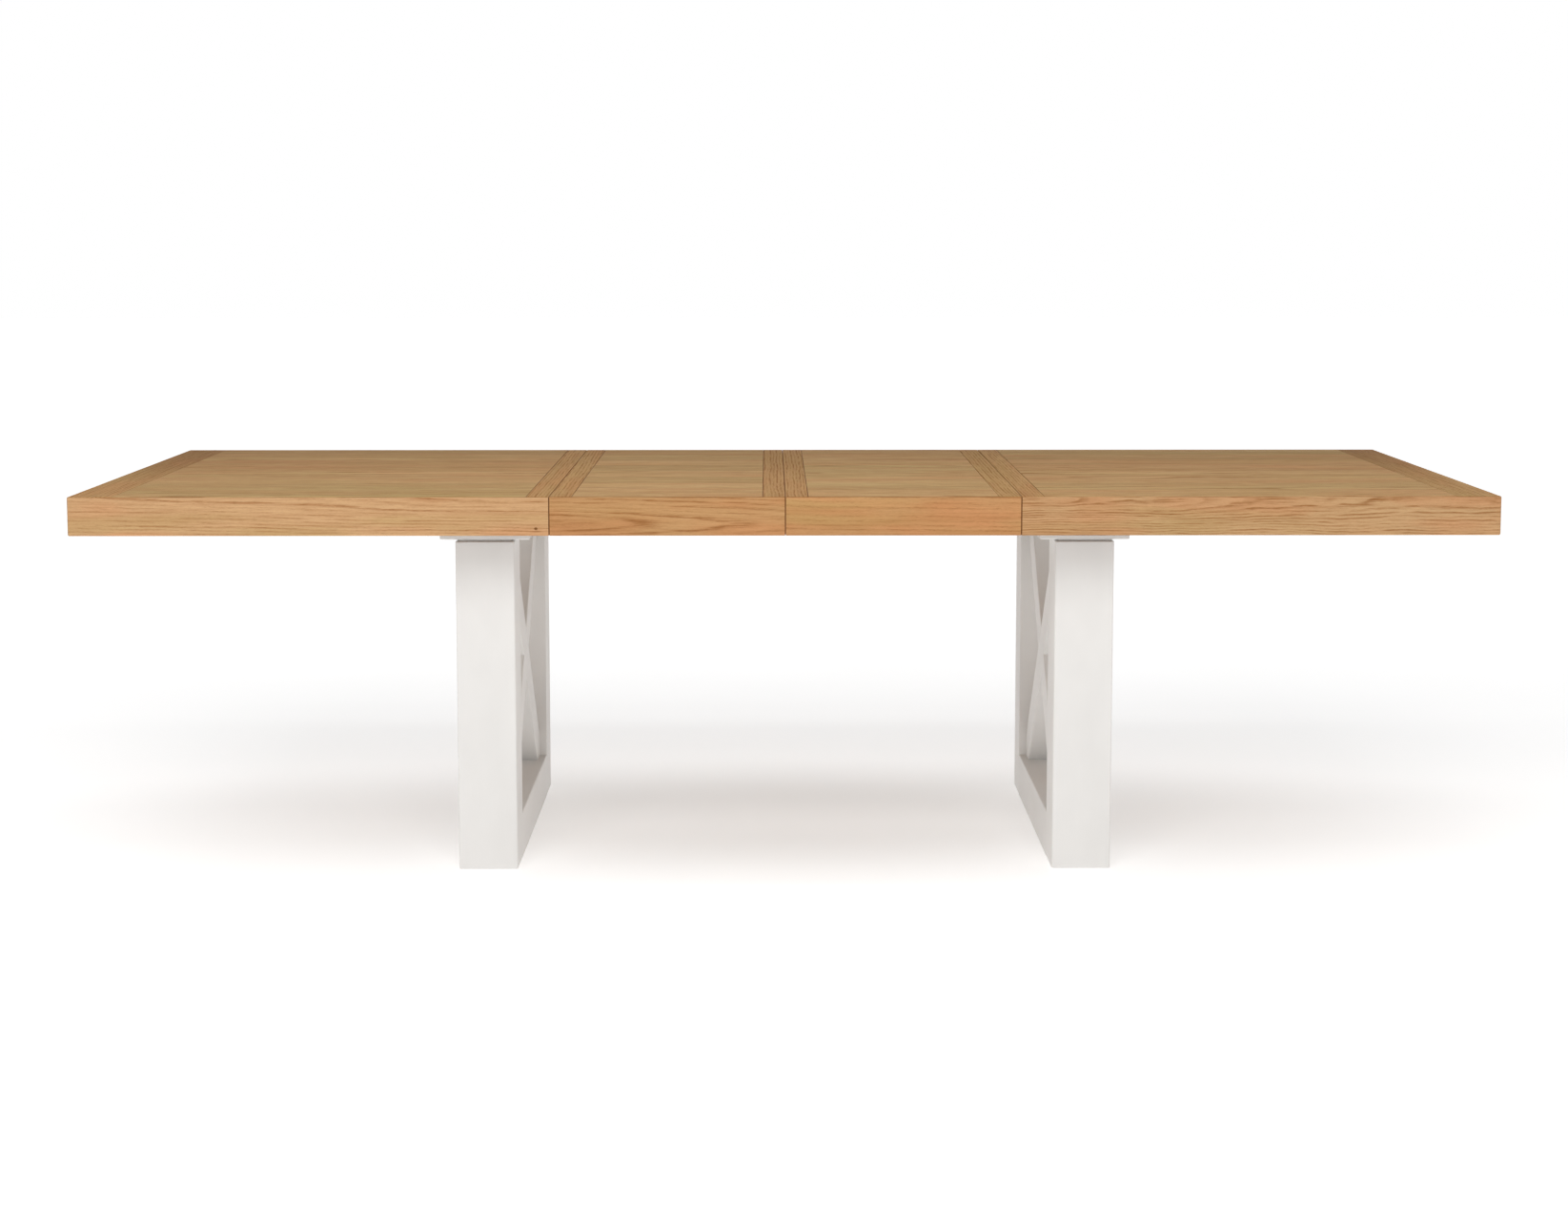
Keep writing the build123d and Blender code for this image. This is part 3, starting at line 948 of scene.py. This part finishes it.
# Satin paint with soft clouds, faint brush marks along a member, and a fine peel.
PAINT = Coat(
    name="paint",
    colour=tone(228, 226, 223),
    shade=tone(221, 219, 216),
    layers=(
        CoatLayer(Blots((5.0, 9.0, 9.0), detail=3.0, span=(0.35, 0.75)), shade=0.65, rough=0.05),
        CoatLayer(Blots((8.0, 420.0, 420.0), detail=3.0, rough=0.6), shade=0.2, rough=0.08, height=0.7),
        CoatLayer(Blots((600.0, 600.0, 600.0), detail=1.0), height=0.3),
    ),
    rough=0.46,
    relief=Relief(depth=0.00010, strength=0.5),
    shine=0.30,
)

# Bright zinc on steel, with a fine spangle and handling marks.
STEEL = Coat(
    name="steel",
    colour=tone(196, 199, 203),
    shade=tone(160, 164, 170),
    layers=(
        CoatLayer(Blots((260.0, 260.0, 260.0), detail=3.0, span=(0.35, 0.7)), shade=1.0, rough=0.11),
        CoatLayer(Blots((60.0, 1400.0, 1400.0)), rough=0.06, height=1.0),
    ),
    rough=0.34,
    relief=Relief(depth=0.00004, strength=0.5),
    metallic=1.0,
)

# Hard grey-white nylon with scuffs and a moulded stipple.
NYLON = Coat(
    name="nylon",
    colour=tone(206, 203, 196),
    shade=tone(150, 146, 138),
    layers=(
        CoatLayer(Blots((90.0, 260.0, 90.0), detail=3.0, span=(0.5, 0.75)), shade=0.7, rough=0.125),
        CoatLayer(Blots((900.0, 900.0, 900.0)), height=1.0),
    ),
    rough=0.55,
    relief=Relief(depth=0.00008, strength=0.6),
    shine=0.4,
)


@dataclass(frozen=True)
class CoatFinish(Finish):
    """A coat of paint, zinc or nylon on one piece."""

    coat: Coat
    cut: Cut = Cut.LONG_FLAT

    @property
    def kind(self) -> str:
        """The finish in one word."""
        return self.coat.name

    def draw(self, graph: Graph, middle: Vector) -> None:
        """Draws the coat.

        Args:
            graph: The tree it is drawn in.
            middle: Middle of the piece.
        """
        coat = self.coat
        place = self.cut.turned(graph.place(), middle)
        layers = [(layer, graph.noise(layer.blots, place)) for layer in coat.layers]
        shade = sum(layer.shade * layer.blots.shaped(noise) for layer, noise in layers if layer.shade)
        rough = sum(noise.swing(layer.rough) for layer, noise in layers if layer.rough)
        height = sum(layer.height * noise for layer, noise in layers if layer.height)
        graph.surface(
            Base_Color=graph.mix(shade, coat.colour, coat.shade),
            Roughness=coat.rough + rough,
            Normal=graph.bump(height, coat.relief),
            Specular_IOR_Level=coat.shine,
            Metallic=coat.metallic,
        )


class SubAssembly(ABC):
    """A part of the table whose solids are dressed together."""

    @abstractmethod
    def finishes(self) -> list[Finish]:
        """Draws up what its solids are finished with.

        Returns:
            A finish for each solid.
        """

    def build(self) -> list[str]:
        """Dresses its solids, and gives a line on each for the report."""
        return [finish.dress() for finish in self.finishes()]


@dataclass
class Top(SubAssembly):
    """One section of the top: boards along the table between strips across it, over its aprons."""

    side: Side
    seed: float
    boards: GlueUp
    front: BoardFinish
    leaf_length: float = LEAF_LENGTH
    seam_gap: float = 0.0004
    seam_strip: float = 0.043
    board_growth: Growth = Growth(ring=0.008)
    board_tint: Tint = (1.0, 1.08, 1.01)
    board_bands: float = 0.4
    strip_growth: Growth = Growth(heart=(0.10, 0.05), wander=0.012)
    strip_lines: float = 0.8
    apron_growth: Growth = Growth(heart=(0.05, 0.06), slope=(0.01, 0.02))

    @property
    def outer_seam(self) -> float:
        """Where the half top and its leaf meet."""
        return self.side.sign * self.leaf_length

    def strip_edge(self, seam: float, way: float) -> float:
        """Where the strip to the right of a seam, or to the left if way is -1, meets the boards."""
        return seam + way * (self.seam_gap / 2.0 + self.seam_strip)

    def plank(self, stock: Stock) -> float:
        """What sets a plank apart from all the others in the table."""
        return self.seed + stock.value

    def long_boards(self, node: str, *joints: JointLine) -> BoardFinish:
        """The boards that run along the table.

        Args:
            node: Name of the solid.
            joints: The lines at the ends of the boards.

        Returns:
            Their finish.
        """
        marks = (*joints, MitreLine(Mitre.LONG), DarkerHiddenFace(Hidden.UNDER))
        return BoardFinish(
            node, OAK, Cut.LONG_FLAT, self.seed, self.board_growth,
            bands=self.board_bands, tint=self.board_tint, boards=self.boards, marks=marks,
        )

    def cross_strip(
        self, node: str, stock: Stock, tint: Tint, *marks: Mark, rear_shade_tint: Optional[Tint] = None
    ) -> BoardFinish:
        """A strip whose grain runs across the table.

        Args:
            node: Name of the solid.
            stock: The plank that it is sawn from.
            tint: How much darker than the boards it is.
            marks: The lines along its edges.
            rear_shade_tint: The tint at its rear end, where that differs.

        Returns:
            Its finish.
        """
        marks = (*marks, MitreLine(Mitre.LONG), DarkerHiddenFace(Hidden.UNDER))
        return BoardFinish(
            node, OAK, Cut.CROSS_FLAT, self.plank(stock), self.strip_growth,
            lines=self.strip_lines, tint=tint, rear_shade_tint=rear_shade_tint, marks=marks,
        )

    def apron(self, node: str, cut: Cut, stock: Stock, *marks: Mark) -> BoardFinish:
        """The finish of a board that stands under the edge at the back or at an end."""
        return BoardFinish(node, OAK, cut, self.plank(stock), self.apron_growth, marks=marks)


@dataclass
class HalfTop(Top):
    """One sliding half of the top, with the runners under it."""

    end_strip: float = 0.085
    end_line_half_width: Span = (0.00036, 0.0006)
    end_line: float = 0.4
    strip_tint: Tint = (0.87, 0.86, 0.70)
    end_tint: Tint = (0.90, 0.93, 0.79)
    # Painted shade: the end strips darken towards the rear of the table.
    end_rear_shade_tint: Tint = (0.69, 0.63, 0.49)

    def face(self) -> list[Finish]:
        """The boards of the top and the strips at their ends.

        Returns:
            Their finishes.
        """
        side, sign = self.side.value, self.side.sign
        # Painted shade on the eased edges of the outer seam.
        seam = SeamShade(self.outer_seam)
        seam_joint = JointLine(self.strip_edge(self.outer_seam, sign))
        end = sign * (TOP_HALF_LENGTH - self.end_strip)
        end_joint = JointLine(end, self.end_line_half_width, strength=self.end_line)
        return [
            self.long_boards(f"{side}_top_panel", seam_joint, end_joint),
            self.cross_strip(
                f"{side}_end_strip", Stock.OUTER_STRIP, self.end_tint,
                end_joint, MitreLine(Mitre.END), rear_shade_tint=self.end_rear_shade_tint,
            ),
            self.cross_strip(f"{side}_seam_strip", Stock.INNER_STRIP, self.strip_tint, seam_joint, seam),
        ]

    def aprons(self) -> list[Finish]:
        """The boards that stand round the edge.

        Returns:
            Their finishes.
        """
        side = self.side.value
        corner = MitreLine(Mitre.CORNER)
        # The seam on the rear apron gets painted shade on its eased edges.
        rear = (MitreLine(Mitre.LONG), corner, SeamShade(self.outer_seam), DarkerHiddenFace(Hidden.BEHIND_LONG_EDGE))
        end = (MitreLine(Mitre.END), corner, DarkerHiddenFace(Hidden.BEHIND_END))
        return [
            self.front,
            self.apron(f"{side}_rear_apron", Cut.LONG_EDGE, Stock.REAR_APRON, *rear),
            self.apron(f"{side}_end_apron", Cut.CROSS_EDGE, Stock.END_APRON, *end),
        ]

    def works(self) -> list[Finish]:
        """What is under the top: glue blocks, runners and screws.

        Returns:
            Their finishes.
        """
        side = self.side.value
        blocks = BoardFinish(f"{side}_corner_blocks", BEECH, Cut.UPRIGHT, self.plank(Stock.BLOCKS))
        planks = {"front_runner": Stock.FRONT_RUNNER, "rear_runner": Stock.REAR_RUNNER}
        runners = [
            BoardFinish(f"{side}_{name}", BEECH, Cut.LONG_EDGE, self.plank(stock), lines=STRAIGHT_LINES)
            for name, stock in planks.items()
        ]
        screws = [CoatFinish(f"{side}_{name}", STEEL) for name in ("runner_screws", "keeper_screws")]
        return [blocks, *runners, *screws]

    def finishes(self) -> list[Finish]:
        """The finishes of the whole half."""
        return self.face() + self.aprons() + self.works()


@dataclass
class Leaf(Top):
    """One lift-out leaf with its own boards and aprons."""

    outer_tint: Tint = (0.86, 0.86, 0.69)
    inner_tint: Tint = (0.86, 0.83, 0.68)
    outer_line: float = 0.85

    def finishes(self) -> list[Finish]:
        """Draws up the boards, the two cross strips, the aprons and the screws of the catches.

        Returns:
            The finishes of the whole leaf.
        """
        leaf, sign = f"{self.side.value}_leaf", self.side.sign
        # Painted shade on the eased edges of both seams of the leaf.
        outer_seam, inner_seam = SeamShade(self.outer_seam), SeamShade(0.0)
        outer = JointLine(self.strip_edge(self.outer_seam, -sign), strength=self.outer_line)
        inner = JointLine(self.strip_edge(0.0, sign))
        rear = (MitreLine(Mitre.LONG), outer_seam, inner_seam, DarkerHiddenFace(Hidden.BEHIND_LONG_EDGE))
        return [
            self.long_boards(f"{leaf}_panel", outer, inner),
            self.cross_strip(f"{leaf}_outer_strip", Stock.OUTER_STRIP, self.outer_tint, outer, outer_seam),
            self.cross_strip(f"{leaf}_inner_strip", Stock.INNER_STRIP, self.inner_tint, inner, inner_seam),
            self.front,
            self.apron(f"{leaf}_rear_apron", Cut.LONG_EDGE, Stock.REAR_APRON, *rear),
            CoatFinish(f"{leaf}_catch_screws", STEEL),
        ]


@dataclass
class LegFrame(SubAssembly):
    """One painted leg frame: two posts, a bottom rail and two crossed braces under a batten."""

    side: Side

    def finishes(self) -> list[Finish]:
        """Draws up the paint, brushed along each member.

        Returns:
            The finishes of the whole frame.
        """
        cuts = {
            "front_post": Cut.UPRIGHT,
            "rear_post": Cut.UPRIGHT,
            "bottom_rail": Cut.CROSS_EDGE,
            "rising_brace": Cut.CROSS_EDGE,
            "falling_brace": Cut.CROSS_EDGE,
            "batten": Cut.CROSS_FLAT,
        }
        return [CoatFinish(f"{self.side.value}_{name}", PAINT, cut) for name, cut in cuts.items()]


@dataclass
class Slides(SubAssembly):
    """The bearers that the runners slide in, with the fixings of the base."""

    seed: float = 60.0

    def finishes(self) -> list[Finish]:
        """Draws up the bearers, the rail between them, the fixings and the glides.

        Returns:
            Their finishes.
        """
        cuts = {"front_bearer": Cut.LONG_EDGE, "rear_bearer": Cut.LONG_EDGE, "cross_rail": Cut.CROSS_FLAT}
        beams = [
            BoardFinish(node, BEECH, cut, self.seed + number, lines=STRAIGHT_LINES)
            for number, (node, cut) in enumerate(cuts.items())
        ]
        fixings = [CoatFinish(node, STEEL) for node in ("bearer_bolts", "post_bolts", "stop_pegs")]
        return [*beams, *fixings, CoatFinish("glides", NYLON)]


@dataclass
class Catches(SubAssembly):
    """The turning catches that hold the leaves to their neighbours."""

    seams: tuple[str, ...] = ("left", "middle", "right")
    rows: tuple[str, ...] = ("front", "rear")

    def finishes(self) -> list[Finish]:
        """A finish for every catch."""
        return [CoatFinish(f"{seam}_{row}_catch", STEEL) for seam in self.seams for row in self.rows]


def put_in_scene(name: str, data: bpy.types.ID) -> bpy.types.Object:
    """Puts a mesh, a lamp or a camera in the scene.

    Args:
        name: The object's name.
        data: What it is.

    Returns:
        The new object.
    """
    made = bpy.data.objects.new(name, data)
    bpy.context.scene.collection.objects.link(made)
    return made


@dataclass(frozen=True)
class SoftBox:
    """A soft lamp that hangs in the studio, with its power in watts."""

    name: str
    power: float
    place: Point
    aim: Point
    size: tuple[float, float]

    def build(self) -> None:
        """Hangs the lamp and turns it to what it lights."""
        lamp = bpy.data.lights.new(self.name, "AREA")
        lamp.shape = "RECTANGLE"
        lamp.size, lamp.size_y = self.size
        lamp.energy = self.power
        box = put_in_scene(self.name, lamp)
        box.location = self.place
        towards = Vector(self.aim) - box.location
        box.rotation_euler = towards.to_track_quat("-Z", "Y").to_euler()
        box.visible_camera = False


@dataclass
class Studio:
    """The pale floor and the soft light round the table.

    The floor glows a little, so that it is as pale as the surroundings. Its glow is weaker in a pool
    under the table, which paints a soft shadow there: the pool's middle and reach say where that is,
    its edge and far_edge where the glow changes, as shares of the reach, and glow_levels how strong
    it is in the painted shadow, round it and far away.
    """

    floor_name: str = "studio_floor"
    floor_size: float = 60.0
    floor_colour: Colour = tone(240, 240, 240)
    floor_shade: Colour = tone(234, 234, 234)
    floor_rough: float = 0.85
    floor_shine: float = 0.1
    mottle: Blots = Blots((3.0, 3.0, 1.0), detail=3.0)
    glow: float = 0.76
    glow_levels: tuple[float, float, float] = (0.42, 0.77, 1.0)
    # Where the painted shadow under the table lies, and where its edge fades.
    shadow_pool_middle: float = 0.06
    shadow_pool_reach: tuple[float, float] = (1.25, 0.40)
    shadow_pool_edge: Span = (0.4, 1.6)
    far_edge: Span = (2.0, 9.0)
    horizon: float = 1.0
    zenith: float = 0.20
    sky_span: Span = (0.15, 0.60)
    key: SoftBox = SoftBox(
        "key_softbox", power=116.0, place=(-0.5, -4.7, 4.2), aim=(0.0, 0.0, 0.6), size=(4.0, 2.4)
    )
    top: SoftBox = SoftBox(
        "top_strip", power=13.0, place=(-0.1, -0.42, 1.9), aim=(-0.1, -0.42, 0.0), size=(5.0, 0.3)
    )

    def floor_material(self) -> bpy.types.Material:
        """Draws the floor's finish.

        Returns:
            The finished material.
        """
        material, graph = new_material(self.floor_name)
        x, y, z = graph.place()
        mottle = graph.noise(self.mottle, (x, y, z))
        wide, deep = x / self.shadow_pool_reach[0], (y - self.shadow_pool_middle) / self.shadow_pool_reach[1]
        away = (wide * wide + deep * deep).root()
        pool, near, far = self.glow_levels
        # Painted shadow: the floor's glow is weaker in the pool under the table.
        glow = away.rise(*self.shadow_pool_edge).between(pool, near) + (far - near) * away.rise(*self.far_edge)
        graph.surface(
            Base_Color=graph.mix(mottle, self.floor_colour, self.floor_shade),
            Roughness=self.floor_rough,
            Specular_IOR_Level=self.floor_shine,
            Emission_Color=graph.mix(glow, grey(0.0), grey(1.0)),
            Emission_Strength=self.glow,
        )
        return material

    def build_floor(self) -> None:
        """Makes the floor that the glides stand on."""
        half = self.floor_size / 2.0
        corners = [(-half, -half, 0.0), (half, -half, 0.0), (half, half, 0.0), (-half, half, 0.0)]
        mesh = bpy.data.meshes.new(self.floor_name)
        mesh.from_pydata(corners, [], [(0, 1, 2, 3)])
        mesh.materials.append(self.floor_material())
        floor = put_in_scene(self.floor_name, mesh)

    def build_world(self) -> None:
        """Makes the pale surroundings, white at eye level and greyer overhead."""
        world = bpy.data.worlds.new("studio")
        world.use_nodes = True
        bpy.context.scene.world = world
        graph = Graph(world.node_tree)
        height = graph.split(graph.node("ShaderNodeTexCoord").outputs["Generated"])[2]
        sky = graph.mix(height.rise(*self.sky_span), grey(self.horizon), grey(self.zenith))
        shade = graph.node("ShaderNodeBackground", None, {"Color": sky, "Strength": 1.0})
        graph.node("ShaderNodeOutputWorld", None, {"Surface": shade.outputs[0]})

    def build(self) -> None:
        """Sets up floor, surroundings and light."""
        self.build_floor()
        self.build_world()
        self.key.build()
        self.top.build()
        bpy.context.scene.view_settings.view_transform = "Standard"


@dataclass
class Viewpoint:
    """The camera at the photo's viewing angle, in metres, degrees and millimetres of lens."""

    place: Point = (-0.03239, -5.13933, 1.26526)
    pitch: float = 5.933
    yaw: float = 0.366
    lens: float = 56.350
    sensor: float = 36.0
    shift: float = -0.08

    def build(self) -> None:
        """Makes the camera and hands it to the scene."""
        camera = bpy.data.cameras.new("viewpoint")
        camera.lens = self.lens
        camera.sensor_width = self.sensor
        camera.sensor_fit = "HORIZONTAL"
        camera.shift_y = self.shift
        stand = put_in_scene("viewpoint", camera)
        stand.location = self.place
        stand.rotation_euler = (math.radians(90.0 - self.pitch), 0.0, math.radians(-self.yaw))
        bpy.context.scene.camera = stand


def front_board(
    node: str, seed: float, growth: Growth, tint: Tint, marks: tuple[Mark, ...], **look: float
) -> BoardFinish:
    """The finish of a board under the front edge, with the figure that its own log gave it."""
    marks = (*marks, MitreLine(Mitre.LONG), DarkerHiddenFace(Hidden.BEHIND_LONG_EDGE))
    return BoardFinish(node, OAK, Cut.LONG_EDGE, seed, growth, tint=tint, marks=marks, **look)


def sections() -> list[Top]:
    """Draws up the four sections of the top.

    Returns:
        The sections from left to right.
    """
    gold, olive, rosy, brown = BoardTone
    # Painted shade on the eased edges of the three seams.
    left_seam, middle_seam, right_seam = SeamShade(-LEAF_LENGTH), SeamShade(0.0), SeamShade(LEAF_LENGTH)
    corner = MitreLine(Mitre.CORNER)
    left = front_board(
        "left_front_apron",
        seed=1.0,
        growth=Growth(heart=(0.06, 0.07), slope=(0.004, 0.015), ring=0.0046, wander=0.012),
        tint=(0.96, 0.99, 1.04),
        marks=(left_seam, corner, PinKnot(x=-0.475, z=0.699)),
        lines=0.6,
        patches=0.9,
    )
    left_leaf = front_board(
        "left_leaf_front_apron",
        seed=2.0,
        growth=Growth(heart=(-0.014, -0.030), slope=(0.0, 0.055), ring=0.0075, wander=0.006),
        tint=(0.835, 0.805, 0.73),
        marks=(left_seam, middle_seam),
        lines=0.72,
        patches=0.9,
    )
    right_leaf = front_board(
        "right_leaf_front_apron",
        seed=3.0,
        growth=Growth(heart=(0.25, 0.10), slope=(0.0, 0.01), ring=0.008),
        tint=(0.90, 0.86, 0.79),
        marks=(right_seam, middle_seam),
        lines=0.30,
        streaks=0.35,
        fibres=0.25,
        bands=0.50,
        patches=1.0,
    )
    right = front_board(
        "right_front_apron",
        seed=4.0,
        growth=Growth(heart=(0.030, -0.029), slope=(0.0, 0.03), ring=0.0046, wander=0.012, wave=0.007),
        tint=(0.885, 0.935, 0.97),
        marks=(right_seam, corner),
        lines=0.9,
        patches=0.9,
    )
    left_half = GlueUp((olive, olive, gold, gold, rosy, rosy, gold, brown))
    left_middle = GlueUp((gold, gold, olive, gold, olive, gold, olive, brown))
    right_middle = GlueUp((gold, olive, gold, olive, olive, gold, gold, brown))
    right_half = GlueUp((gold, olive, gold, gold, rosy, rosy, brown, olive))
    return [
        HalfTop(Side.LEFT, seed=100.0, boards=left_half, front=left),
        Leaf(Side.LEFT, seed=200.0, boards=left_middle, front=left_leaf),
        Leaf(Side.RIGHT, seed=220.0, boards=right_middle, front=right_leaf, outer_line=0.35),
        HalfTop(Side.RIGHT, seed=120.0, boards=right_half, front=right),
    ]


def main() -> None:
    """Builds the camera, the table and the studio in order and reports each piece."""
    logging.basicConfig(level=logging.INFO, format="%(message)s")
    Viewpoint().build()
    log.info("viewpoint: camera")
    legs = [LegFrame(side) for side in Side]
    assemblies: list[SubAssembly] = [*sections(), *legs, Slides(), Catches()]
    for assembly in assemblies:
        for line in assembly.build():
            log.info(line)
    Studio().build()
    log.info("studio: floor, surroundings and lamps")


if __name__ == "__main__":
    main()
